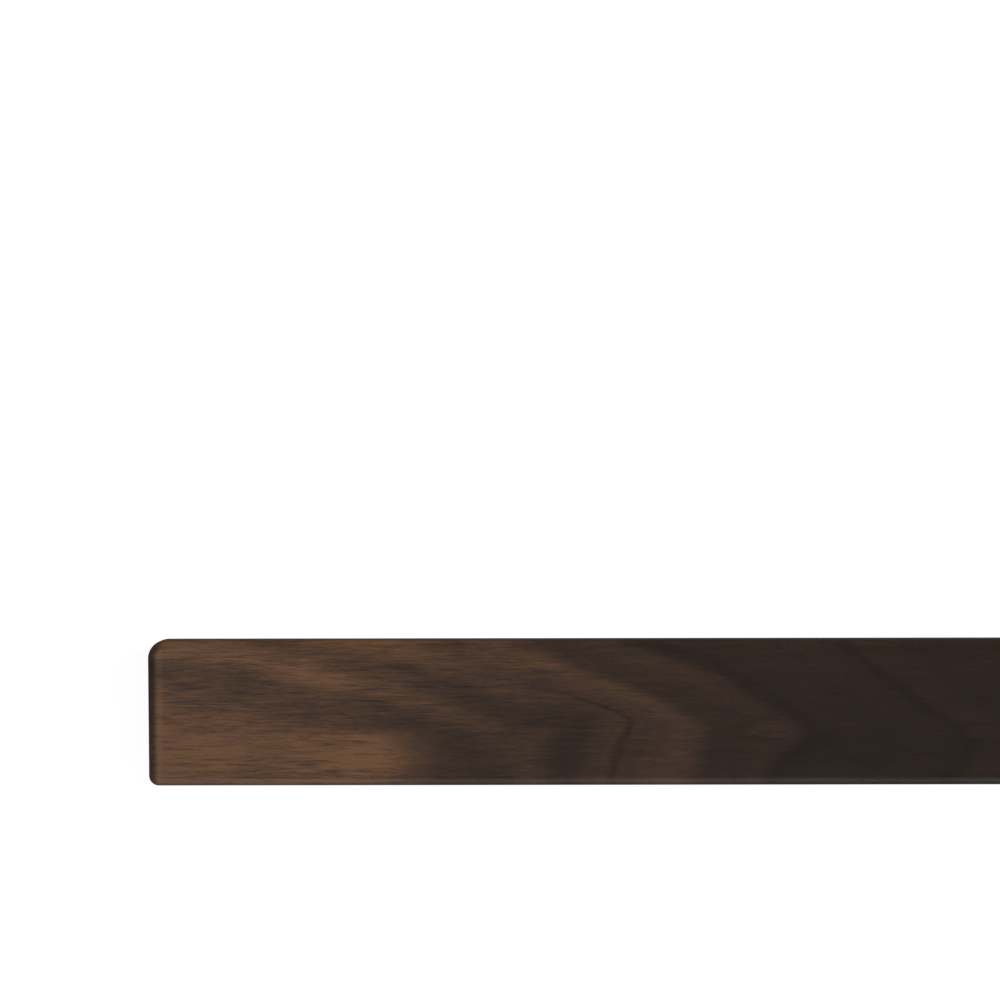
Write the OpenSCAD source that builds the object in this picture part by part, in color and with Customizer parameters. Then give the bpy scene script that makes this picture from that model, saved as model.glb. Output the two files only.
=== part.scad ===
// Wooden wrist rest for a full-size keyboard.
// One solid walnut bar with a flat top that falls towards the user, standing on six
// stick-on rubber feet. Each foot sits in a shallow round recess in the underside.
// Origin: middle of the footprint, on the desk. +X right, +Y towards the keyboard, +Z up.

/* [Bar] */
// Length of the bar, left to right
bar_length = 440; // [340:5:460]
// Depth of the bar, user's edge to keyboard's edge
bar_depth = 70; // [60:1:85]
// Height of the top above the desk where it meets the round-over at the keyboard's edge
back_height = 19; // [18:0.5:24]
// Height of the top above the desk where it meets the round-over at the user's edge
front_height = 15; // [14:0.5:18]

/* [Edges] */
// Plan radius of the two corners at the keyboard's edge
back_corner_radius = 9; // [6:0.5:14]
// Plan radius of the two corners at the user's edge
front_corner_radius = 4.8; // [4.8:0.1:10]
// Radius of the round-over along the whole top edge
top_round = 4.8; // [3:0.1:4.8]
// Radius of the eased edge along the whole underside
bottom_round = 1.2; // [0.6:0.1:2]

/* [Feet] */
// Diameter of a rubber foot
foot_diameter = 12; // [8:0.5:14]
// Thickness of a rubber foot
foot_thickness = 2.3; // [1.8:0.1:3]
// Rounding of the foot's lower rim
foot_rim_round = 0.6; // [0.3:0.1:0.8]
// Depth of the recess that holds a foot
recess_depth = 1; // [0.5:0.1:1.5]
// Gap between the foot and the recess wall
recess_gap = 0.25; // [0.1:0.05:0.5]
// Distance from an end of the bar to the centres of its end feet
foot_end_inset = 24; // [18:1:60]
// Distance from a long edge of the bar to the centres of its feet
foot_side_inset = 12; // [10:1:20]
// Thickness of the adhesive disc above a foot
adhesive_thickness = 0.2; // [0.1:0.05:0.4]
// How far the adhesive disc stops short of the foot's edge
adhesive_inset = 0.3; // [0.1:0.1:1]

/* [Hidden] */
ROWS = ["front", "back"];
COLUMNS = ["left", "middle", "right"];
FEET = [for (row = ROWS, column = COLUMNS) str(row, "_", column)];

LAST_ROW = len(ROWS) - 1;
LAST_COLUMN = len(COLUMNS) - 1;

// Height of the wood's underside: a foot and its adhesive, less what the recess takes.
wood_bottom = foot_thickness + adhesive_thickness - recess_depth;
// Distance from the middle of the depth to each edge of the flat top.
flat_half_depth = bar_depth / 2 - top_round;
// Rise of the top per millimetre of depth, and its height at the middle of the depth.
top_slope = (back_height - front_height) / (2 * flat_half_depth);
middle_height = (back_height + front_height) / 2;
// Distance between neighbouring feet in a row.
foot_pitch = (bar_length - 2 * foot_end_inset) / LAST_COLUMN;

// Facets of a full turn for the bar's corners, for its edge roundings, and for the feet.
CORNER_FACETS = 32;
EDGE_FACETS = 48;
FOOT_FACETS = 96;
// A cutter reaches this far past the face that it cuts.
CUT_MARGIN = 0.1;

// Plan radius of the corners of one row.
function corner_radius(row) = row == 0 ? front_corner_radius : back_corner_radius;

// Centre of the corner at one end (-1 left, 1 right) of one row.
function corner_centre(end, row) = [
    end * (bar_length / 2 - corner_radius(row)),
    (2 * row - 1) * (bar_depth / 2 - corner_radius(row))
];

// Centre of the foot in one row and column.
function foot_centre(row, column) = [
    (column - LAST_COLUMN / 2) * foot_pitch,
    (2 * row - 1) * (bar_depth / 2 - foot_side_inset)
];

// A ring whose outer face is rounded like the edge of a coin: it turns about a corner.
module edge_ring(radius, round) {
    rotate_extrude($fn = CORNER_FACETS)
        intersection() {
            union() {
                translate([radius - round, 0])
                    circle(round, $fn = EDGE_FACETS);
                translate([0, -round])
                    square([radius - round, 2 * round]);
            }
            translate([0, -round])
                square([radius, 2 * round]);
        }
}

// Tips everything inside it so that what was level follows the slope of the top.
module follow_top_slope() {
    multmatrix([[1, 0, 0, 0], [0, 1, 0, 0], [0, top_slope, 1, 0]])
        children();
}

// The solid bar before its recesses are cut: a skin stretched over a level ring at the
// foot of each corner and a sloping one at its top.
module bar_blank() {
    hull()
        for (end = [-1, 1], row = [0, 1]) {
            translate(concat(corner_centre(end, row), wood_bottom + bottom_round))
                edge_ring(corner_radius(row), bottom_round);
            follow_top_slope()
                translate(concat(corner_centre(end, row), middle_height - top_round))
                    edge_ring(corner_radius(row), top_round);
        }
}

module walnut_bar() {
    color("#4b3528")
        difference() {
            bar_blank();
            for (row = [0 : LAST_ROW], column = [0 : LAST_COLUMN])
                translate(concat(foot_centre(row, column), wood_bottom - CUT_MARGIN))
                    cylinder(d = foot_diameter + 2 * recess_gap,
                             h = recess_depth + CUT_MARGIN, $fn = FOOT_FACETS);
        }
}

// A foot: flat sole on the desk, rounded lower rim, square upper rim in the recess.
module foot_pad(row, column) {
    color("#1c1c1d")
        translate(foot_centre(row, column))
            rotate_extrude($fn = FOOT_FACETS) {
                square([foot_diameter / 2 - foot_rim_round, foot_thickness]);
                translate([0, foot_rim_round])
                    square([foot_diameter / 2, foot_thickness - foot_rim_round]);
                translate([foot_diameter / 2 - foot_rim_round, foot_rim_round])
                    circle(foot_rim_round, $fn = EDGE_FACETS);
            }
}

// The film that bonds a foot to the floor of its recess.
module adhesive_disc(row, column) {
    color("#d8d6cf")
        translate(concat(foot_centre(row, column), foot_thickness))
            cylinder(d = foot_diameter - 2 * adhesive_inset, h = adhesive_thickness,
                     $fn = FOOT_FACETS);
}

walnut_bar();
for (row = [0 : LAST_ROW], column = [0 : LAST_COLUMN]) {
    foot = str(ROWS[row], "_", COLUMNS[column]);
    foot_pad(row, column);
    adhesive_disc(row, column);
}
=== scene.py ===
"""Wooden wrist rest for a keyboard: an oiled walnut bar on six rubber feet.

The bar and the feet are Geometry Nodes trees with named sizes, and the finishes are
procedural. Everything is in metres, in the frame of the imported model.
"""

import math

import bpy
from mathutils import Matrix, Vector


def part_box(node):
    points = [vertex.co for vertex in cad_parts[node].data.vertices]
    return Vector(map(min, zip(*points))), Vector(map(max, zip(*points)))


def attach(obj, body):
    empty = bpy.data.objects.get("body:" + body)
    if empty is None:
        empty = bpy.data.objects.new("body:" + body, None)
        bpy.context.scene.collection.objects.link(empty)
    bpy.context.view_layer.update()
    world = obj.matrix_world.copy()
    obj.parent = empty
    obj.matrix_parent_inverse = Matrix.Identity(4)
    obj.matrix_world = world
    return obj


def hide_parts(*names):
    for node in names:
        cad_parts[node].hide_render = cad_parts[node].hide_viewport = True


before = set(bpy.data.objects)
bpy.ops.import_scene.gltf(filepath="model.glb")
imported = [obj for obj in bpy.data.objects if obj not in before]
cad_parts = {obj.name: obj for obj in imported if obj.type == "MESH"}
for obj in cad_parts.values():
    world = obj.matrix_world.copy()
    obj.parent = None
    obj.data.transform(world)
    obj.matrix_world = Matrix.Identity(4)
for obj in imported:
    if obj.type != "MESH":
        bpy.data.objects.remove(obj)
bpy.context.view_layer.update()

MM = 0.001


# ---------------------------------------------------------------- sizes

bar_low, bar_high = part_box("walnut_bar")
BAR_LENGTH = bar_high.x - bar_low.x
BAR_DEPTH = bar_high.y - bar_low.y
UNDERSIDE = bar_low.z

BACK_CORNER_RADIUS = 9 * MM
FRONT_CORNER_RADIUS = 4.8 * MM
TOP_ROUND = 4.8 * MM
BOTTOM_ROUND = 1.2 * MM
BACK_HEIGHT = 19 * MM
FRONT_HEIGHT = 15 * MM
TOP_SLOPE = (BACK_HEIGHT - FRONT_HEIGHT) / (BAR_DEPTH - 2 * TOP_ROUND)
MIDDLE_HEIGHT = (BACK_HEIGHT + FRONT_HEIGHT) / 2

ROWS = ("front", "back")
COLUMNS = ("left", "middle", "right")
FOOT_NAMES = [f"{row}_{column}" for row in ROWS for column in COLUMNS]
# The feet stand in mirror image, so a span is twice the distance of one foot's centre.
foot_low, foot_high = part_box("foot_pad_back_right")
FOOT_DIAMETER = foot_high.x - foot_low.x
FOOT_HEIGHT = foot_high.z - foot_low.z
FOOT_SPAN_X = foot_high.x + foot_low.x
FOOT_SPAN_Y = foot_high.y + foot_low.y
RECESS_DIAMETER = FOOT_DIAMETER + 0.5 * MM
RECESS_DEPTH = 1 * MM


# ---------------------------------------------------------------- node helpers

def place(tree, kind, values=None, **settings):
    """Adds a node. Values are numbers or other nodes' outputs, by input name or number."""
    made = tree.nodes.new(kind)
    for name, setting in settings.items():
        setattr(made, name, setting)
    for name, value in (values or {}).items():
        if isinstance(value, bpy.types.NodeSocket):
            tree.links.new(value, made.inputs[name])
        else:
            made.inputs[name].default_value = value
    return made


def calc(tree, operation, *values):
    """The result of a Math node."""
    return place(tree, "ShaderNodeMath", dict(enumerate(values)), operation=operation).outputs[0]


def vector_calc(tree, operation, *values):
    """The result of a Vector Math node that gives a vector."""
    return place(tree, "ShaderNodeVectorMath", dict(enumerate(values)),
                 operation=operation).outputs[0]


def fade(tree, value, start, end, low=0.0, high=1.0, smooth=False):
    """Goes from low to high while the value goes from start to end, and stays beyond."""
    return place(tree, "ShaderNodeMapRange",
                 {"Value": value, "From Min": start, "From Max": end,
                  "To Min": low, "To Max": high},
                 interpolation_type="SMOOTHSTEP" if smooth else "LINEAR").outputs[0]


def changed_by(tree, value, mask, share):
    """The value, raised by a share of itself where the mask is 1. A minus share lowers it."""
    return calc(tree, "MULTIPLY", value, calc(tree, "MULTIPLY_ADD", mask, share, 1.0))


def combine(tree, x, y, z):
    """A vector from three values."""
    return place(tree, "ShaderNodeCombineXYZ", {0: x, 1: y, 2: z}).outputs[0]


def separate(tree, vector):
    """The three parts of a vector."""
    return place(tree, "ShaderNodeSeparateXYZ", {0: vector}).outputs


def new_tree(name, kind, inputs, outputs):
    """An empty node tree with its named sockets, and its input and output nodes."""
    tree = bpy.data.node_groups.new(name, kind)
    for socket, socket_type in inputs.items():
        tree.interface.new_socket(socket, in_out="INPUT", socket_type=socket_type)
    for socket, socket_type in outputs.items():
        tree.interface.new_socket(socket, in_out="OUTPUT", socket_type=socket_type)
    return tree, tree.nodes.new("NodeGroupInput").outputs, tree.nodes.new("NodeGroupOutput")


FLOAT = "NodeSocketFloat"
COUNT = "NodeSocketInt"
VECTOR = "NodeSocketVector"
GEOMETRY = "NodeSocketGeometry"
MATERIAL = "NodeSocketMaterial"
WHOLE_TURN = 2 * math.pi


# ---------------------------------------------------------------- shapes

# Points closer than this are one point, where parts of a mesh meet.
SEAM_GAP = 0.002 * MM
# How finely the recesses and the feet are turned, from the axis to the rim.
RECESS_RINGS = 40
FOOT_RINGS = 120
FOOT_LINE_POINTS = 150
FOOT_RIM_FACETS = 8
# The foot's upper rim sits in the recess and is only eased: its share of the lower rim.
UPPER_RIM_SHARE = 0.25


def open_four_point_line(tree, points):
    """An open line through four points of a section, given as (outwards, up)."""
    corners = {f"Point {number}": combine(tree, out, 0.0, up)
               for number, (out, up) in enumerate(points, start=1)}
    loop = place(tree, "GeometryNodeCurvePrimitiveQuadrilateral", corners, mode="POINTS")
    return place(tree, "GeometryNodeSetSplineCyclic",
                 {"Geometry": loop.outputs[0], "Cyclic": False}).outputs[0]


def rounded(tree, curve, radius, count):
    """The curve with its corners rounded; the radius may be a field."""
    return place(tree, "GeometryNodeFilletCurve",
                 {"Curve": curve, "Radius": radius, "Count": count}, mode="POLY").outputs[0]


def lathe_tree():
    """Turns a section, drawn as X outwards and Z up, about the Z axis."""
    tree, given, result = new_tree(
        "Lathe", "GeometryNodeTree",
        {"Section": GEOMETRY, "Sides": COUNT, "Rings": COUNT}, {"Mesh": GEOMETRY})
    grid = place(tree, "GeometryNodeMeshGrid",
                 {"Size X": 1.0, "Size Y": 1.0,
                  "Vertices X": calc(tree, "ADD", given["Sides"], 1.0),
                  "Vertices Y": given["Rings"]})
    across = separate(tree, place(tree, "GeometryNodeInputPosition").outputs[0])
    turn = calc(tree, "MULTIPLY", calc(tree, "ADD", across[0], 0.5), WHOLE_TURN)
    along = calc(tree, "ADD", across[1], 0.5)
    sample = place(tree, "GeometryNodeSampleCurve",
                   {"Curves": given["Section"], "Factor": along}, mode="FACTOR")
    section = separate(tree, sample.outputs["Position"])
    position = combine(tree,
                       calc(tree, "MULTIPLY", section[0], calc(tree, "COSINE", turn)),
                       calc(tree, "MULTIPLY", section[0], calc(tree, "SINE", turn)),
                       section[2])
    turned = place(tree, "GeometryNodeSetPosition",
                   {"Geometry": grid.outputs["Mesh"], "Position": position})
    closed = place(tree, "GeometryNodeMergeByDistance",
                   {"Geometry": turned.outputs[0], "Distance": SEAM_GAP / 2})
    tree.links.new(closed.outputs[0], result.inputs["Mesh"])
    return tree


def turned_on_lathe(tree, lathe, section, sides, rings):
    """The section turned on the lathe."""
    return place(tree, "GeometryNodeGroup",
                 {"Section": section, "Sides": sides, "Rings": rings},
                 node_tree=lathe).outputs["Mesh"]


def cut_long_segments(tree, curve, pitch):
    """Adds points to a closed line so that no segment is much longer than the pitch."""
    position = place(tree, "GeometryNodeInputPosition").outputs[0]
    index = place(tree, "GeometryNodeInputIndex").outputs[0]
    size = place(tree, "GeometryNodeAttributeDomainSize", {"Geometry": curve}, component="CURVE")
    following = calc(tree, "MODULO", calc(tree, "ADD", index, 1.0), size.outputs["Point Count"])
    next_position = place(tree, "GeometryNodeFieldAtIndex",
                          {"Index": following, "Value": position},
                          data_type="FLOAT_VECTOR", domain="POINT").outputs[0]
    length = place(tree, "ShaderNodeVectorMath", {0: position, 1: next_position},
                   operation="DISTANCE").outputs["Value"]
    cuts = calc(tree, "FLOOR", calc(tree, "DIVIDE", length, pitch))
    return place(tree, "GeometryNodeSubdivideCurve", {"Curve": curve, "Cuts": cuts}).outputs[0]


def rim_of(tree, mesh, side, level):
    """The open rim of a mesh that lies above (GREATER_THAN) or below a level, as a curve."""
    faces = place(tree, "GeometryNodeInputMeshEdgeNeighbors").outputs[0]
    height = separate(tree, place(tree, "GeometryNodeInputPosition").outputs[0])[2]
    on_rim = calc(tree, "LESS_THAN", faces, 1.5)
    on_side = calc(tree, side, height, level)
    return place(tree, "GeometryNodeMeshToCurve",
                 {"Mesh": mesh, "Selection": calc(tree, "MULTIPLY", on_rim, on_side)}).outputs[0]


def flat_face(tree, outlines, height):
    """The outlines filled as one flat face at a height: an outline inside another is a hole."""
    filled = place(tree, "GeometryNodeFillCurve", {"Curve": outlines}, mode="TRIANGLES")
    return place(tree, "GeometryNodeTransform",
                 {"Geometry": filled.outputs[0],
                  "Translation": combine(tree, 0.0, 0.0, height)}).outputs[0]


def joined(tree, *parts):
    """Several geometries as one."""
    made = place(tree, "GeometryNodeJoinGeometry")
    for part in parts:
        tree.links.new(part, made.inputs[0])
    return made.outputs[0]


def bar_tree(lathe):
    """The bar: an edge section swept round the plan outline, capped above and below."""
    tree, given, result = new_tree(
        "Wrist rest bar", "GeometryNodeTree",
        {"Length": FLOAT, "Depth": FLOAT, "Middle Height": FLOAT, "Underside": FLOAT,
         "Top Slope": FLOAT, "Back Corner Radius": FLOAT, "Front Corner Radius": FLOAT,
         "Top Round": FLOAT, "Bottom Round": FLOAT, "Facets": COUNT, "Pitch": FLOAT,
         "Recess Radius": FLOAT, "Recess Depth": FLOAT, "Recess Chamfer": FLOAT,
         "Recess Sides": COUNT, "Foot Span X": FLOAT, "Foot Span Y": FLOAT,
         "Foot Columns": COUNT, "Foot Rows": COUNT, "Material": MATERIAL},
        {"Geometry": GEOMETRY})

    # The plan outline, with its own radius at the back and at the front.
    rectangle = place(tree, "GeometryNodeCurvePrimitiveQuadrilateral",
                      {"Width": given["Length"], "Height": given["Depth"]}, mode="RECTANGLE")
    depthwise = separate(tree, place(tree, "GeometryNodeInputPosition").outputs[0])[1]
    corner = place(tree, "GeometryNodeSwitch",
                   {"Switch": calc(tree, "GREATER_THAN", depthwise, 0.0),
                    "False": given["Front Corner Radius"],
                    "True": given["Back Corner Radius"]}, input_type="FLOAT")
    outline = rounded(tree, rectangle.outputs[0], corner.outputs[0], given["Facets"])
    outline = cut_long_segments(tree, outline, given["Pitch"])

    # The edge section: round-over, wall and eased lower edge. X runs outwards and Y down.
    section = place(tree, "GeometryNodeCurvePrimitiveQuadrilateral", mode="POINTS")
    inset_top = calc(tree, "MULTIPLY", given["Top Round"], -1.0)
    inset_bottom = calc(tree, "MULTIPLY", given["Bottom Round"], -1.0)
    for number, (out, up) in enumerate(((inset_top, given["Middle Height"]),
                                        (0.0, given["Middle Height"]),
                                        (0.0, given["Underside"]),
                                        (inset_bottom, given["Underside"])), start=1):
        down = calc(tree, "MULTIPLY", up, -1.0)
        tree.links.new(combine(tree, out, down, 0.0), section.inputs[f"Point {number}"])
    section = place(tree, "GeometryNodeSetSplineCyclic",
                    {"Geometry": section.outputs[0], "Cyclic": False}).outputs[0]
    down = separate(tree, place(tree, "GeometryNodeInputPosition").outputs[0])[1]
    wall_middle = calc(tree, "MULTIPLY",
                       calc(tree, "ADD", given["Middle Height"], given["Underside"]), 0.5)
    edge_round = place(tree, "GeometryNodeSwitch",
                       {"Switch": calc(tree, "LESS_THAN", down,
                                       calc(tree, "MULTIPLY", wall_middle, -1.0)),
                        "False": given["Bottom Round"],
                        "True": given["Top Round"]}, input_type="FLOAT")
    section = rounded(tree, section, edge_round.outputs[0], given["Facets"])
    sides = place(tree, "GeometryNodeCurveToMesh",
                  {"Curve": outline, "Profile Curve": section}).outputs[0]

    # The caps: a plain one above, and one below with a hole for each recess.
    top = flat_face(tree, rim_of(tree, sides, "GREATER_THAN", wall_middle),
                    given["Middle Height"])
    mouth_radius = calc(tree, "ADD", given["Recess Radius"], given["Recess Chamfer"])
    places = place(tree, "GeometryNodeMeshGrid",
                   {"Size X": given["Foot Span X"], "Size Y": given["Foot Span Y"],
                    "Vertices X": given["Foot Columns"], "Vertices Y": given["Foot Rows"]})
    mouth = place(tree, "GeometryNodeCurvePrimitiveCircle",
                  {"Resolution": given["Recess Sides"], "Radius": mouth_radius}, mode="RADIUS")
    mouths = place(tree, "GeometryNodeInstanceOnPoints",
                   {"Points": places.outputs["Mesh"], "Instance": mouth.outputs[0]})
    mouths = place(tree, "GeometryNodeRealizeInstances", {0: mouths.outputs[0]}).outputs[0]
    rim = rim_of(tree, sides, "LESS_THAN", wall_middle)
    bottom = flat_face(tree, joined(tree, rim, mouths), given["Underside"])
    bottom = place(tree, "GeometryNodeFlipFaces", {"Mesh": bottom}).outputs[0]

    # The recesses: a flat floor, a wall and a small chamfer, turned on the lathe. The line
    # runs from the axis to the mouth, so the faces look into the hollow.
    cup_line = open_four_point_line(tree, ((0.0, given["Recess Depth"]),
                                           (given["Recess Radius"], given["Recess Depth"]),
                                           (given["Recess Radius"], given["Recess Chamfer"]),
                                           (mouth_radius, 0.0)))
    cup = turned_on_lathe(tree, lathe, cup_line, given["Recess Sides"], RECESS_RINGS)
    cups = place(tree, "GeometryNodeInstanceOnPoints",
                 {"Points": places.outputs["Mesh"], "Instance": cup})
    cups = place(tree, "GeometryNodeRealizeInstances", {0: cups.outputs[0]}).outputs[0]
    cups = place(tree, "GeometryNodeTransform",
                 {"Geometry": cups,
                  "Translation": combine(tree, 0.0, 0.0, given["Underside"])}).outputs[0]

    closed = place(tree, "GeometryNodeMergeByDistance",
                   {"Geometry": joined(tree, sides, top, bottom, cups),
                    "Distance": SEAM_GAP}).outputs[0]

    # The top half leans back: its height follows the slope of the top.
    at = separate(tree, place(tree, "GeometryNodeInputPosition").outputs[0])
    rise = calc(tree, "MULTIPLY",
                calc(tree, "MULTIPLY", at[1], given["Top Slope"]),
                calc(tree, "GREATER_THAN", at[2], wall_middle))
    sloped = place(tree, "GeometryNodeSetPosition",
                   {"Geometry": closed, "Offset": combine(tree, 0.0, 0.0, rise)}).outputs[0]
    smooth = place(tree, "GeometryNodeSetShadeSmooth", {"Geometry": sloped}).outputs[0]
    whole = place(tree, "GeometryNodeRealizeInstances", {0: smooth}).outputs[0]
    finished = place(tree, "GeometryNodeSetMaterial",
                     {"Geometry": whole, "Material": given["Material"]})
    tree.links.new(finished.outputs[0], result.inputs["Geometry"])
    return tree


def foot_tree(lathe):
    """A rubber foot: rounded rim, and shallow grip rings cut up into the sole."""
    tree, given, result = new_tree(
        "Rubber foot", "GeometryNodeTree",
        {"Place": VECTOR, "Radius": FLOAT, "Height": FLOAT, "Rim Round": FLOAT,
         "Groove Depth": FLOAT, "Groove Start": FLOAT, "Groove Pitch": FLOAT,
         "Groove Count": FLOAT, "Sides": COUNT, "Material": MATERIAL},
        {"Geometry": GEOMETRY})
    line = open_four_point_line(tree, ((0.0, 0.0), (given["Radius"], 0.0),
                                       (given["Radius"], given["Height"]),
                                       (0.0, given["Height"])))
    height = separate(tree, place(tree, "GeometryNodeInputPosition").outputs[0])[2]
    upper = calc(tree, "GREATER_THAN", height, calc(tree, "MULTIPLY", given["Height"], 0.5))
    rim = place(tree, "GeometryNodeSwitch",
                {"Switch": upper, "False": given["Rim Round"],
                 "True": calc(tree, "MULTIPLY", given["Rim Round"], UPPER_RIM_SHARE)},
                input_type="FLOAT")
    line = rounded(tree, line, rim.outputs[0], FOOT_RIM_FACETS)
    line = place(tree, "GeometryNodeResampleCurve", {"Curve": line, "Count": FOOT_LINE_POINTS},
                 mode="COUNT").outputs[0]

    # Grip rings: a smooth wave in the sole, between the first and the last groove.
    at = separate(tree, place(tree, "GeometryNodeInputPosition").outputs[0])
    turns = calc(tree, "DIVIDE", calc(tree, "SUBTRACT", at[0], given["Groove Start"]),
                 given["Groove Pitch"])
    wave = calc(tree, "MULTIPLY",
                calc(tree, "SUBTRACT", 1.0,
                     calc(tree, "COSINE", calc(tree, "MULTIPLY", turns, WHOLE_TURN))), 0.5)
    within = calc(tree, "MULTIPLY", calc(tree, "GREATER_THAN", turns, 0.0),
                  calc(tree, "LESS_THAN", turns, given["Groove Count"]))
    on_sole = calc(tree, "LESS_THAN", at[2], 0.01 * MM)
    lift = calc(tree, "MULTIPLY", calc(tree, "MULTIPLY", wave, within),
                calc(tree, "MULTIPLY", on_sole, given["Groove Depth"]))
    line = place(tree, "GeometryNodeSetPosition",
                 {"Geometry": line, "Offset": combine(tree, 0.0, 0.0, lift)}).outputs[0]
    mesh = turned_on_lathe(tree, lathe, line, given["Sides"], FOOT_RINGS)
    mesh = place(tree, "GeometryNodeTransform",
                 {"Geometry": mesh, "Translation": given["Place"]}).outputs[0]
    smooth = place(tree, "GeometryNodeSetShadeSmooth", {"Geometry": mesh}).outputs[0]
    whole = place(tree, "GeometryNodeRealizeInstances", {0: smooth}).outputs[0]
    finished = place(tree, "GeometryNodeSetMaterial",
                     {"Geometry": whole, "Material": given["Material"]})
    tree.links.new(finished.outputs[0], result.inputs["Geometry"])
    return tree


def made_by(tree, name, sizes):
    """A plain mesh object made by a Geometry Nodes tree with these sizes."""
    piece = bpy.data.objects.new(name, bpy.data.meshes.new(name))
    bpy.context.scene.collection.objects.link(piece)
    modifier = piece.modifiers.new(tree.name, "NODES")
    modifier.node_group = tree
    for socket in tree.interface.items_tree:
        if socket.in_out == "INPUT" and socket.name in sizes:
            modifier[socket.identifier] = sizes[socket.name]
    mesh = plain_mesh(piece)
    piece.modifiers.clear()
    mesh.materials.pop(index=0)
    piece.data = mesh
    mesh.name = name
    return piece


def plain_mesh(piece):
    """The piece's mesh as its modifiers leave it."""
    graph = bpy.context.evaluated_depsgraph_get()
    return bpy.data.meshes.new_from_object(piece.evaluated_get(graph), depsgraph=graph)


def keep_flats_flat(piece):
    """Weights the normals by face area, so that flats shade flat right up to their rounding."""
    piece.modifiers.new("Flat normals", "WEIGHTED_NORMAL").mode = "FACE_AREA"
    mesh = plain_mesh(piece)
    piece.modifiers.clear()
    piece.data = mesh
    mesh.name = piece.name


# ---------------------------------------------------------------- shared effects

def edge_wear_group():
    """Where a rounded edge gets rubbed: a patchy mask that is nothing on the flats. The walnut also
    uses it to paint a highlight along its rounded edges.
    """
    tree, given, result = new_tree(
        "Edge wear", "ShaderNodeTree",
        {"Normal": VECTOR, "Position": VECTOR, "Patch Scale": FLOAT, "Sharpness": FLOAT},
        {"Mask": FLOAT})
    facing = separate(tree, vector_calc(tree, "ABSOLUTE", given["Normal"]))
    flattest = calc(tree, "MAXIMUM", calc(tree, "MAXIMUM", facing[0], facing[1]), facing[2])
    rounding = fade(tree, flattest, 0.99, 0.8, smooth=True)
    patches = place(tree, "ShaderNodeTexNoise",
                    {"Vector": given["Position"], "Scale": given["Patch Scale"],
                     "Detail": 4.0, "Roughness": 0.6}).outputs["Fac"]
    rubbed = calc(tree, "POWER", patches, given["Sharpness"])
    tree.links.new(calc(tree, "MULTIPLY", rounding, rubbed), result.inputs["Mask"])
    return tree


def micro_texture_group():
    """Fine moulded or coated surface: a soft cloud, a speckle and a height for bump."""
    tree, given, result = new_tree(
        "Micro texture", "ShaderNodeTree", {"Position": VECTOR, "Grain Size": FLOAT},
        {"Cloud": FLOAT, "Speckle": FLOAT, "Height": FLOAT})
    cloud = place(tree, "ShaderNodeTexNoise",
                  {"Vector": given["Position"], "Scale": 260.0, "Detail": 3.0}).outputs["Fac"]
    scale = calc(tree, "DIVIDE", 1.0, given["Grain Size"])
    speckle = place(tree, "ShaderNodeTexNoise",
                    {"Vector": given["Position"], "Scale": scale, "Detail": 2.0}).outputs["Fac"]
    pits = place(tree, "ShaderNodeTexVoronoi",
                 {"Vector": given["Position"], "Scale": scale}).outputs["Distance"]
    height = calc(tree, "ADD", calc(tree, "MULTIPLY", speckle, 0.6),
                  calc(tree, "MULTIPLY", pits, 0.4))
    tree.links.new(cloud, result.inputs["Cloud"])
    tree.links.new(speckle, result.inputs["Speckle"])
    tree.links.new(height, result.inputs["Height"])
    return tree


def use_group(tree, group, values):
    """A shared effect placed in a material with its own values."""
    return place(tree, "ShaderNodeGroup", values, node_tree=group).outputs


def new_material(name, preview):
    """An empty node material, its node tree and its Principled shader."""
    material = bpy.data.materials.new(name)
    material.use_nodes = True
    material.diffuse_color = (*preview, 1.0)
    return material, material.node_tree, material.node_tree.nodes["Principled BSDF"]


def stops(ramp, points):
    """Fills a Color Ramp with (position, colour) stops."""
    elements = ramp.color_ramp.elements
    while len(elements) < len(points):
        elements.new(0.5)
    for element, (position, colour) in zip(elements, points):
        element.position = position
        element.color = (*colour, 1.0)


def curve_through(tree, value, points, lowest=0.0, highest=1.0):
    """A smooth curve through (value, height) points; heights lie from lowest to highest."""
    start = points[0][0]
    end = points[-1][0]
    share = fade(tree, value, start, end)
    node = place(tree, "ShaderNodeFloatCurve", {"Value": share})
    line = node.mapping.curves[0]
    while len(line.points) < len(points):
        line.points.new(0.5, 0.5)
    for point, (at, height) in zip(line.points, points):
        point.location = ((at - start) / (end - start), (height - lowest) / (highest - lowest))
    node.mapping.update()
    return calc(tree, "MULTIPLY_ADD", node.outputs[0], highest - lowest, lowest)


def add_bump(tree, shader, height, strength, distance):
    """Gives the shader a relief from a height."""
    bump = place(tree, "ShaderNodeBump",
                 {"Height": height, "Strength": strength, "Distance": distance})
    tree.links.new(bump.outputs[0], shader.inputs["Normal"])


def noise(tree, position, stretch, detail=3.0, roughness=0.55, offset=(0.0, 0.0, 0.0)):
    """Noise, from about -0.5 to 0.5, with one blob about as long as stretch each way."""
    per_length = tuple(1.0 / length for length in stretch)
    scaled = place(tree, "ShaderNodeMapping",
                   {"Vector": position, "Location": offset, "Scale": per_length},
                   vector_type="POINT").outputs[0]
    value = place(tree, "ShaderNodeTexNoise",
                  {"Vector": scaled, "Scale": 1.0, "Detail": detail,
                   "Roughness": roughness}).outputs["Fac"]
    return calc(tree, "SUBTRACT", value, 0.5)


# ---------------------------------------------------------------- walnut

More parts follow.
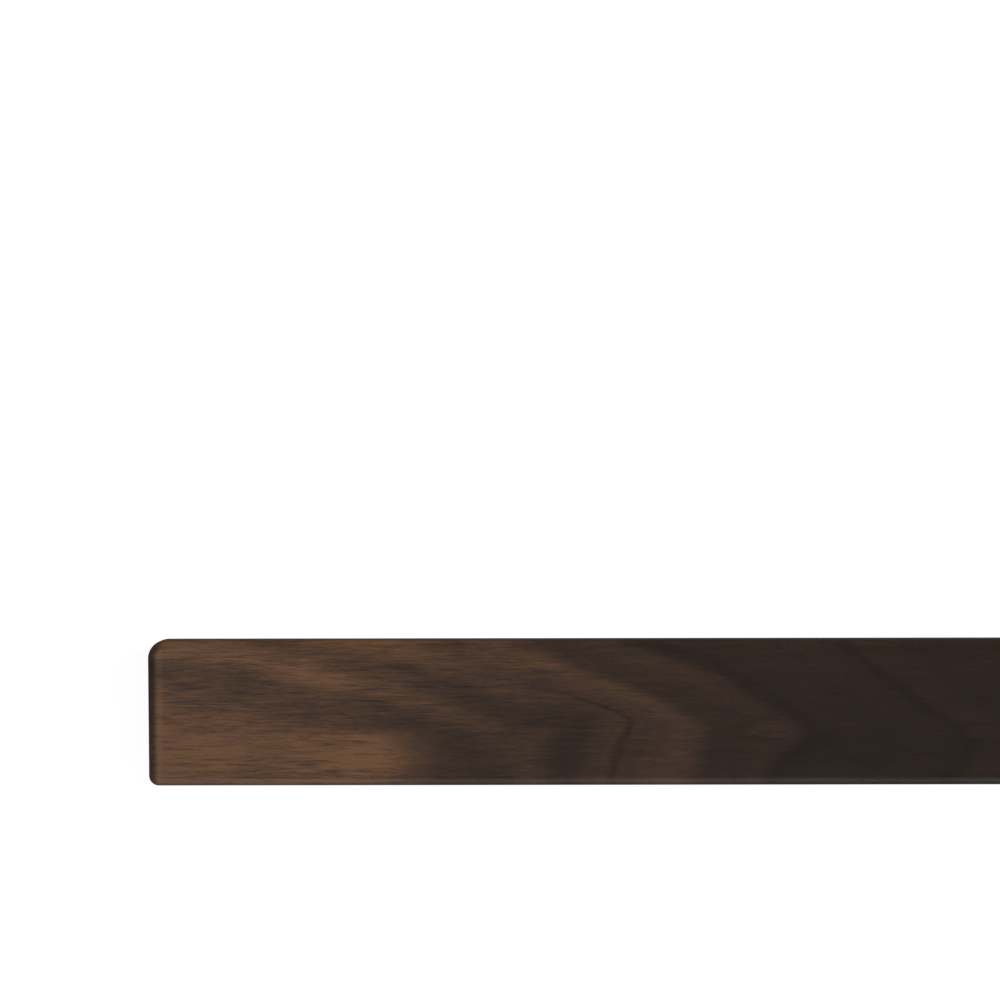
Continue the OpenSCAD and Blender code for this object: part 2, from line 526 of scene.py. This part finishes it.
# The figure is drawn in millimetres from the middle of the bar.
# Across the bar at each X: where the arches of the rings have their tips, and how
# steeply the rings run away to the back and to the front.
ARCH_TIPS = ((-230, -35), (-160, -38), (-100, -26), (-50, -20), (0, -4), (50, -9),
             (100, -11), (180, -15), (230, -16))
BACKWARD_SPREAD = ((-230, 3.1), (-160, 2.1), (-100, 1.9), (-50, 1.8), (0, 2.5), (50, 1.7),
                   (100, 1.5), (230, 1.5))
FORWARD_SPREAD = ((-230, 0.2), (-160, 0.15), (-100, 0.05), (-50, 0.05), (0, 0.35), (50, 0.3),
                  (100, 1.6), (180, 0.5), (230, 0.4))
# Along the bar: lighter at the left end and darker to the right, partly the wood's own tone and
# partly painted light that falls off from the left.
LENGTHWISE_TONE_AND_LIGHT = ((-230, 3.7), (-180, 3.2), (-140, 3.0), (-100, 2.2), (-60, 1.45), (-20, 1.15),
                   (20, 1.0), (60, 0.82), (100, 0.65), (140, 0.5), (230, 0.43))
# Ring by ring: pale early wood, dark late wood, and two thin dark lines.
RING_TONE = ((-110, 17), (-90, 15), (-75, 13.5), (-60, 13.5), (-52, 15), (-44, 17.5), (-37, 19),
             (-28, 17), (-18, 15), (-10, 16), (-2, 19), (6, 20), (12, 19.5), (20, 20.5),
             (28, 22.5), (36, 24), (42, 22.5), (47, 18.5), (54, 16.5), (64, 16.5), (74, 18), (82, 19),
             (92, 17), (100, 13), (108, 15), (126, 16.5), (143, 17), (154, 19), (167, 18.5),
             (171, 15), (176, 19), (189, 22.5), (206, 19.5), (224, 20.5), (255, 19))
MEAN_RING_TONE = 17.0
# The pale streak low on the left of the top: its strength at each X.
PALE_STREAK = ((-230, 0.25), (-205, 0.22), (-180, 0.3), (-155, 0.15), (-140, 0.35), (-128, 0.7),
               (-112, 1.15), (-100, 0.85), (-90, 0.5), (-82, 0.2), (-74, 0.0), (230, 0.0))
# The thin dark line follows the rings at this distance, and shows between these X.
DARK_LINE_AT = 9.5
DARK_LINE_FADES_IN = (-38.0, -5.0)
# The pale streak fades in and out between these Y.
STREAK_BACK_EDGE = (-6.0, -12.0)
STREAK_FRONT_EDGE = (-35.0, -21.0)
# A small pale patch inside the arch: its middle and its reach, as (X, Y).
PATCH_MIDDLE = (80.0, -9.0)
PATCH_REACH = (14.0, 7.0)
# The painted highlight near each end, where the rounding begins: its distance from the middle, and
# its fade.
END_HIGHLIGHT_AT = 213.8
END_HIGHLIGHT_FADE = (2.0, 0.2)
# How far the tips of the arches are rounded, and how fast the rings sink below the top.
TIP_ROUNDING = 2.0
SINKING = 2.0
# How fast the arcs on the end grain alternate, in radians for each millimetre of rings.
END_ARCS = 1.6
# The tone at which the palette ends, on the pale side.
PALEST_TONE = 80.0

# The palette runs from the darkest late wood to the palest early wood.
WALNUT_PALETTE = ((0.0, (0.003, 0.0015, 0.001)), (0.1, (0.0155, 0.008, 0.0046)),
                  (0.165, (0.0245, 0.0132, 0.0086)), (0.32, (0.05, 0.0255, 0.0155)),
                  (0.5, (0.082, 0.0395, 0.0205)), (0.75, (0.129, 0.06, 0.029)),
                  (1.0, (0.172, 0.08, 0.04)))
# The hue drifts between a cooler, redder brown and amber.
HUE_DRIFT = ((0.0, (0.97, 0.97, 1.12)), (1.0, (1.0, 1.02, 0.84)))


def ring_distance_group():
    """How far along the growth rings a point of the board lies, in millimetres."""
    tree, given, result = new_tree(
        "Ring distance", "ShaderNodeTree", {"Position": VECTOR, "Broad Waves": FLOAT,
                                            "Fine Waves": FLOAT},
        {"Distance": FLOAT, "Smooth Distance": FLOAT})
    x, y, z = separate(tree, given["Position"])
    tip = curve_through(tree, x, ARCH_TIPS, -40.0, 0.0)
    backward = curve_through(tree, x, BACKWARD_SPREAD, 0.0, 4.0)
    forward = curve_through(tree, x, FORWARD_SPREAD, 0.0, 2.0)

    def run(offset):
        """Nothing before the tip of the arch, and the offset itself well past it."""
        past = calc(tree, "MAXIMUM", offset, 0.0)
        rounded_off = calc(tree, "SQRT",
                           calc(tree, "MULTIPLY_ADD", past, past, TIP_ROUNDING ** 2))
        return calc(tree, "SUBTRACT", rounded_off, TIP_ROUNDING)

    behind = calc(tree, "MULTIPLY", backward, run(calc(tree, "SUBTRACT", y, tip)))
    ahead = calc(tree, "MULTIPLY", forward, run(calc(tree, "SUBTRACT", tip, y)))
    flat = calc(tree, "ADD", x, calc(tree, "ADD", behind, ahead))
    # Below the top the rings sink away, which gives arches on the end grain.
    top_here = calc(tree, "MULTIPLY_ADD", y, TOP_SLOPE, MIDDLE_HEIGHT / MM)
    depth = calc(tree, "SUBTRACT", top_here, z)
    sunk = calc(tree, "SUBTRACT", flat, calc(tree, "MULTIPLY", depth, SINKING))
    broad = noise(tree, given["Position"], (38, 10, 12), detail=2.0)
    fine = noise(tree, given["Position"], (16, 1.0, 1.2), detail=3.0, offset=(7, 3, 1))
    smooth = calc(tree, "MULTIPLY_ADD", broad, given["Broad Waves"], sunk)
    wavy = calc(tree, "MULTIPLY_ADD", fine, given["Fine Waves"], smooth)
    tree.links.new(wavy, result.inputs["Distance"])
    tree.links.new(smooth, result.inputs["Smooth Distance"])
    return tree


def wood_fibre_group():
    """Long streaks, short fibres, open pores and pale glints, all running along the bar."""
    tree, given, result = new_tree(
        "Wood fibre", "ShaderNodeTree", {"Position": VECTOR},
        {"Streaks": FLOAT, "Fibres": FLOAT, "Pores": FLOAT, "Glints": FLOAT})
    wander = noise(tree, given["Position"], (45, 14, 14), detail=1.0)
    bent = vector_calc(tree, "ADD", given["Position"],
                       combine(tree, 0.0, calc(tree, "MULTIPLY", wander, 2.0), 0.0))
    streaks = calc(tree, "ADD",
                   noise(tree, bent, (14, 0.8, 1.0), detail=3.0, roughness=0.6),
                   calc(tree, "MULTIPLY", noise(tree, bent, (30, 2.4, 2.8), detail=2.0), 0.6))
    fibres = noise(tree, bent, (5, 0.42, 0.5), detail=3.0, roughness=0.7, offset=(3, 5, 9))
    dashes = noise(tree, bent, (3.4, 0.26, 0.3), detail=1.0, offset=(11, 2, 4))
    pores = fade(tree, dashes, 0.1, 0.24)
    bright = noise(tree, bent, (8, 0.45, 0.5), detail=2.0, offset=(2, 13, 6))
    glints = fade(tree, bright, 0.06, 0.26)
    tree.links.new(streaks, result.inputs["Streaks"])
    tree.links.new(fibres, result.inputs["Fibres"])
    tree.links.new(pores, result.inputs["Pores"])
    tree.links.new(glints, result.inputs["Glints"])
    return tree


def ring_tone(tree, x, distance):
    """The tone of the growth rings, with the thin growth lines between the broad bands."""
    rings = curve_through(tree, distance, RING_TONE, 0.0, 25.0)
    # Lighter towards the left end: partly the wood's tone, partly painted light falling off from the
    # left.
    lengthwise = curve_through(tree, x, LENGTHWISE_TONE_AND_LIGHT, 0.0, 4.0)
    strength = fade(tree, x, 40.0, 110.0, 1.75, 1.2)
    contrast = calc(tree, "POWER", calc(tree, "DIVIDE", rings, MEAN_RING_TONE), strength)
    tone = calc(tree, "MULTIPLY", calc(tree, "MULTIPLY", contrast, MEAN_RING_TONE), lengthwise)
    lines = noise(tree, combine(tree, distance, 0.0, 0.0), (2.6, 1, 1), detail=2.0)
    return changed_by(tree, tone, lines, 0.5)


def dark_line(tree, position, smooth_distance):
    """Where the thin dark line runs, over the middle and the front: fainter in places."""
    x = separate(tree, position)[0]
    away = calc(tree, "ABSOLUTE", calc(tree, "SUBTRACT", smooth_distance, DARK_LINE_AT))
    line = fade(tree, away, 3.6, 0.4, smooth=True)
    shown = fade(tree, x, *DARK_LINE_FADES_IN)
    faint = noise(tree, position, (14, 7, 7), offset=(4, 4, 8))
    faint = calc(tree, "MULTIPLY_ADD", faint, 2.5, 1.0)
    return calc(tree, "MULTIPLY", calc(tree, "MULTIPLY", line, shown), faint)


def pale_streak(tree, slid, torn):
    """Where the pale streak lies, low on the left."""
    below = fade(tree, torn, *STREAK_BACK_EDGE, smooth=True)
    above = fade(tree, torn, *STREAK_FRONT_EDGE, smooth=True)
    along = curve_through(tree, slid, PALE_STREAK, 0.0, 1.0)
    return calc(tree, "MULTIPLY", calc(tree, "MULTIPLY", below, above), along)


def pale_patch(tree, slid, torn):
    """Where the small pale patch lies: 1 in its middle, 0 from its edge."""
    squares = []
    for value, middle, reach in zip((slid, torn), PATCH_MIDDLE, PATCH_REACH):
        offset = calc(tree, "DIVIDE", calc(tree, "SUBTRACT", value, middle), reach)
        squares.append(calc(tree, "POWER", offset, 2.0))
    inside = calc(tree, "SUBTRACT", 1.0, calc(tree, "ADD", *squares))
    return calc(tree, "MAXIMUM", inside, 0.0)


def fibre_unevenness(tree, position, fibre):
    """Streaks, fibres, clouds and glints together, strongest in the pale wood."""
    x = separate(tree, position)[0]
    clouds = noise(tree, position, (40, 14, 14), detail=2.0, offset=(5, 8, 2))
    uneven = calc(tree, "ADD", calc(tree, "MULTIPLY", fibre["Streaks"], 1.3),
                  calc(tree, "MULTIPLY", fibre["Fibres"], 0.8))
    uneven = calc(tree, "ADD", uneven, calc(tree, "MULTIPLY", clouds, 0.6))
    uneven = calc(tree, "ADD", uneven, calc(tree, "MULTIPLY", fibre["Glints"], 0.35))
    return calc(tree, "MULTIPLY", uneven, fade(tree, x, -110.0, 50.0, 1.35, 0.65))


def painted_end_highlight(tree, x, upward):
    """Where the painted highlight lies on the top, as the rounding of each end begins."""
    away = calc(tree, "ABSOLUTE",
                calc(tree, "SUBTRACT", calc(tree, "ABSOLUTE", x), END_HIGHLIGHT_AT))
    return calc(tree, "MULTIPLY", fade(tree, away, *END_HIGHLIGHT_FADE, smooth=True),
                fade(tree, upward, 0.9, 0.99))


def walnut_material(ring_distance, wood_fibre, edge_wear):
    """Oiled black walnut, paler at the left end (partly its own tone, partly painted light), with the
    rings of one flat-sawn board and a painted highlight where each end's rounding begins.
    """
    material, tree, shader = new_material("oiled_walnut", (0.13, 0.08, 0.05))
    coordinates = place(tree, "ShaderNodeTexCoord").outputs
    millimetres = (1 / MM, 1 / MM, 1 / MM)
    position = vector_calc(tree, "MULTIPLY", coordinates["Object"], millimetres)
    x, y = separate(tree, position)[:2]
    facing = separate(tree, coordinates["Normal"])
    rings = use_group(tree, ring_distance, {"Position": position, "Broad Waves": 9.0,
                                            "Fine Waves": 9.0})
    fibre = use_group(tree, wood_fibre, {"Position": position})
    rubbed = use_group(tree, edge_wear, {"Normal": coordinates["Normal"], "Position": position,
                                         "Patch Scale": 0.2, "Sharpness": 1.5})["Mask"]

    tone = ring_tone(tree, x, rings["Distance"])
    tone = changed_by(tree, tone, dark_line(tree, position, rings["Smooth Distance"]), -0.34)
    # The streak and the patch have edges torn by the fibres.
    torn = calc(tree, "MULTIPLY_ADD", fibre["Streaks"], 9.0, y)
    slid = calc(tree, "MULTIPLY_ADD", fibre["Streaks"], 60.0, x)
    tone = changed_by(tree, tone, pale_streak(tree, slid, torn), 1.0)
    tone = changed_by(tree, tone, pale_patch(tree, slid, torn), 0.35)
    uneven = calc(tree, "ADD", fibre_unevenness(tree, position, fibre), 1.0)
    tone = calc(tree, "MULTIPLY", tone, calc(tree, "MAXIMUM", uneven, 0.35))
    tone = changed_by(tree, tone, fibre["Pores"], -0.35)

    # End grain drinks the oil and goes dark, and shows the rings cut across as fine arcs.
    endwise = calc(tree, "ABSOLUTE", facing[0])
    arcs = calc(tree, "SINE", calc(tree, "MULTIPLY", rings["Smooth Distance"], END_ARCS))
    tone = changed_by(tree, tone, arcs, fade(tree, endwise, 0.6, 0.95, 0.0, 0.35))
    end_grain = fade(tree, endwise, -0.05, 0.5, smooth=True)
    tone = changed_by(tree, tone, end_grain, -0.5)
    # A painted highlight: the top is made paler where each end's rounding begins.
    tone = changed_by(tree, tone, painted_end_highlight(tree, x, facing[2]), 0.3)
    # Rubbed edges are paler, partly worn oil and partly a painted highlight along the rounded edges,
    # and duller below, where the oil has worn thin.
    tone = changed_by(tree, tone, rubbed, 0.9)

    palette = place(tree, "ShaderNodeValToRGB",
                    {"Fac": calc(tree, "DIVIDE", tone, PALEST_TONE)})
    stops(palette, WALNUT_PALETTE)
    drift = noise(tree, position, (16, 5, 5), detail=2.0, offset=(9, 1, 7))
    hue = place(tree, "ShaderNodeValToRGB", {"Fac": fade(tree, drift, -0.2, 0.2)})
    stops(hue, HUE_DRIFT)
    tinted = place(tree, "ShaderNodeMixRGB",
                   {"Fac": 1.0, "Color1": palette.outputs[0], "Color2": hue.outputs[0]},
                   blend_type="MULTIPLY").outputs[0]
    tree.links.new(tinted, shader.inputs["Base Color"])

    rough = calc(tree, "MULTIPLY_ADD", fibre["Fibres"], 0.25, 0.37)
    rough = calc(tree, "MULTIPLY_ADD", fibre["Pores"], 0.15, rough)
    rough = calc(tree, "MULTIPLY_ADD", end_grain, 0.12, rough)
    rough = calc(tree, "MULTIPLY_ADD", rubbed, 0.3, rough)
    tree.links.new(rough, shader.inputs["Roughness"])
    shader.inputs["Specular IOR Level"].default_value = 0.45

    height = calc(tree, "MULTIPLY_ADD", fibre["Pores"], -0.8, fibre["Fibres"])
    add_bump(tree, shader, height, strength=0.35, distance=0.05 * MM)
    return material


# ---------------------------------------------------------------- rubber and adhesive

def rubber_material(micro_texture, edge_wear):
    """Moulded black rubber, greyer and duller on its rubbed rim."""
    material, tree, shader = new_material("foot_rubber", (0.02, 0.02, 0.02))
    coordinates = place(tree, "ShaderNodeTexCoord").outputs
    micro = use_group(tree, micro_texture, {"Position": coordinates["Object"],
                                            "Grain Size": 0.3 * MM})
    rubbed = use_group(tree, edge_wear, {"Normal": coordinates["Normal"],
                                         "Position": coordinates["Object"],
                                         "Patch Scale": 600.0, "Sharpness": 2.0})["Mask"]
    amount = calc(tree, "ADD", calc(tree, "MULTIPLY", micro["Cloud"], 0.6),
                  calc(tree, "MULTIPLY", micro["Speckle"], 0.3))
    amount = calc(tree, "ADD", amount, calc(tree, "MULTIPLY", rubbed, 1.2))
    ramp = place(tree, "ShaderNodeValToRGB", {"Fac": amount})
    stops(ramp, ((0.25, (0.008, 0.008, 0.009)), (0.6, (0.015, 0.015, 0.016)),
                 (1.0, (0.035, 0.034, 0.032))))
    tree.links.new(ramp.outputs[0], shader.inputs["Base Color"])
    rough = calc(tree, "MULTIPLY_ADD", micro["Speckle"], 0.2, 0.62)
    rough = calc(tree, "MULTIPLY_ADD", rubbed, 0.2, rough)
    tree.links.new(rough, shader.inputs["Roughness"])
    add_bump(tree, shader, micro["Height"], strength=0.3, distance=0.05 * MM)
    return material


def adhesive_material(micro_texture):
    """A cloudy, milky film of adhesive."""
    material, tree, shader = new_material("foot_adhesive", (0.62, 0.60, 0.55))
    coordinates = place(tree, "ShaderNodeTexCoord").outputs
    micro = use_group(tree, micro_texture, {"Position": coordinates["Object"],
                                            "Grain Size": 0.8 * MM})
    ramp = place(tree, "ShaderNodeValToRGB", {"Fac": micro["Cloud"]})
    stops(ramp, ((0.3, (0.52, 0.49, 0.42)), (0.7, (0.68, 0.66, 0.62))))
    tree.links.new(ramp.outputs[0], shader.inputs["Base Color"])
    rough = calc(tree, "MULTIPLY_ADD", micro["Speckle"], 0.3, 0.25)
    tree.links.new(rough, shader.inputs["Roughness"])
    add_bump(tree, shader, micro["Height"], strength=0.4, distance=0.03 * MM)
    return material


# ---------------------------------------------------------------- studio

WHITE = (1.0, 1.0, 1.0, 1.0)
CAMERA_PLACE = (-0.0518, 0.1015, 1.407)
CAMERA_ROLL_DEGREES = -0.085
CAMERA_LENS = 105.0
FLOOR_REACH = 6.0
# The floor lies just below the soles, so that the two never share a plane.
FLOOR_LEVEL = -0.05 * MM
BAR_MIDDLE = (0.0, 0.0, 0.0)


def add_camera():
    """Straight above, and well behind the bar, so the back wall just shows."""
    data = bpy.data.cameras.new("studio_camera")
    data.lens = CAMERA_LENS
    data.sensor_width = 36.0
    data.clip_start = 0.01
    data.clip_end = 20.0
    camera = bpy.data.objects.new("studio_camera", data)
    bpy.context.scene.collection.objects.link(camera)
    camera.location = CAMERA_PLACE
    camera.rotation_euler = (0.0, 0.0, math.radians(CAMERA_ROLL_DEGREES))
    bpy.context.scene.camera = camera


def add_soft_light(name, location, target, size, power, in_reflections=True):
    """A rectangular soft box aimed at a target and unseen by the camera."""
    data = bpy.data.lights.new(name, "AREA")
    data.shape = "RECTANGLE"
    data.size, data.size_y = size
    data.energy = power
    lamp = bpy.data.objects.new(name, data)
    bpy.context.scene.collection.objects.link(lamp)
    lamp.location = location
    aim = Vector(target) - Vector(location)
    lamp.rotation_euler = aim.to_track_quat("-Z", "Y").to_euler()
    lamp.visible_camera = False
    lamp.visible_glossy = in_reflections


def add_world(light, backdrop):
    """Even grey light all round, with a pale backdrop for the camera only."""
    world = bpy.data.worlds.new("studio")
    world.use_nodes = True
    bpy.context.scene.world = world
    tree = world.node_tree
    tree.nodes.clear()
    grey = place(tree, "ShaderNodeBackground", {"Color": WHITE, "Strength": light})
    white = place(tree, "ShaderNodeBackground", {"Color": WHITE, "Strength": backdrop})
    seen = place(tree, "ShaderNodeLightPath").outputs["Is Camera Ray"]
    mix = place(tree, "ShaderNodeMixShader", {0: seen, 1: grey.outputs[0],
                                              2: white.outputs[0]})
    place(tree, "ShaderNodeOutputWorld", {"Surface": mix.outputs[0]})


def add_floor():
    """A pale floor that looks white but sends only a little light back up."""
    material = bpy.data.materials.new("pale_floor")
    material.use_nodes = True
    tree = material.node_tree
    tree.nodes.clear()
    pale = place(tree, "ShaderNodeBsdfDiffuse", {"Color": (0.25, 0.25, 0.25, 1.0)})
    glow = place(tree, "ShaderNodeEmission", {"Color": WHITE, "Strength": 0.91})
    shown = place(tree, "ShaderNodeAddShader", {0: pale.outputs[0], 1: glow.outputs[0]})
    dim = place(tree, "ShaderNodeBsdfDiffuse", {"Color": (0.2, 0.2, 0.2, 1.0)})
    seen = place(tree, "ShaderNodeLightPath").outputs["Is Camera Ray"]
    mix = place(tree, "ShaderNodeMixShader", {0: seen, 1: dim.outputs[0],
                                              2: shown.outputs[0]})
    place(tree, "ShaderNodeOutputMaterial", {"Surface": mix.outputs[0]})
    mesh = bpy.data.meshes.new("studio_floor")
    corners = [(side * FLOOR_REACH, end * FLOOR_REACH, FLOOR_LEVEL)
               for side, end in ((-1, -1), (1, -1), (1, 1), (-1, 1))]
    mesh.from_pydata(corners, [], [(0, 1, 2, 3)])
    mesh.materials.append(material)
    floor = bpy.data.objects.new("studio_floor", mesh)
    bpy.context.scene.collection.objects.link(floor)


# ---------------------------------------------------------------- build

bpy.context.scene.view_settings.view_transform = "Standard"
add_camera()
add_floor()
add_world(light=0.25, backdrop=1.0)
add_soft_light("key_light", location=(1.25, 0.35, 0.8), target=BAR_MIDDLE,
               size=(0.8, 0.8), power=25.0, in_reflections=False)
add_soft_light("left_card", location=(-0.72, -0.05, 1.2), target=(-0.2, 0.0, 0.0),
               size=(0.15, 0.8), power=1.1)
add_soft_light("front_card", location=(0.0, -0.85, 0.3), target=BAR_MIDDLE,
               size=(1.6, 0.7), power=2.8)

edge_wear = edge_wear_group()
micro_texture = micro_texture_group()
walnut = walnut_material(ring_distance_group(), wood_fibre_group(), edge_wear)
rubber = rubber_material(micro_texture, edge_wear)
adhesive = adhesive_material(micro_texture)
lathe = lathe_tree()

bar = made_by(bar_tree(lathe), "walnut_block", {
    "Length": BAR_LENGTH,
    "Depth": BAR_DEPTH,
    "Middle Height": MIDDLE_HEIGHT,
    "Underside": UNDERSIDE,
    "Top Slope": TOP_SLOPE,
    "Back Corner Radius": BACK_CORNER_RADIUS,
    "Front Corner Radius": FRONT_CORNER_RADIUS,
    "Top Round": TOP_ROUND,
    "Bottom Round": BOTTOM_ROUND,
    "Facets": 16,
    "Pitch": 6 * MM,
    "Recess Radius": RECESS_DIAMETER / 2,
    "Recess Depth": RECESS_DEPTH,
    "Recess Chamfer": 0.2 * MM,
    "Recess Sides": 64,
    "Foot Span X": FOOT_SPAN_X,
    "Foot Span Y": FOOT_SPAN_Y,
    "Foot Columns": len(COLUMNS),
    "Foot Rows": len(ROWS),
    "Material": walnut,
})
keep_flats_flat(bar)
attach(bar, "root")
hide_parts("walnut_bar")

foot = foot_tree(lathe)
for name in FOOT_NAMES:
    low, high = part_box(f"foot_pad_{name}")
    pad = made_by(foot, f"rubber_foot_{name}", {
        "Place": ((low.x + high.x) / 2, (low.y + high.y) / 2, low.z),
        "Radius": FOOT_DIAMETER / 2,
        "Height": FOOT_HEIGHT,
        "Rim Round": 0.6 * MM,
        "Groove Depth": 0.25 * MM,
        "Groove Start": 1.6 * MM,
        "Groove Pitch": 1.2 * MM,
        "Groove Count": 3.0,
        "Sides": 72,
        "Material": rubber,
    })
    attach(pad, "root")
    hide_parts(f"foot_pad_{name}")

for name in FOOT_NAMES:
    disc = bpy.data.objects[f"adhesive_disc_{name}"]
    disc.data.materials.clear()
    disc.data.materials.append(adhesive)
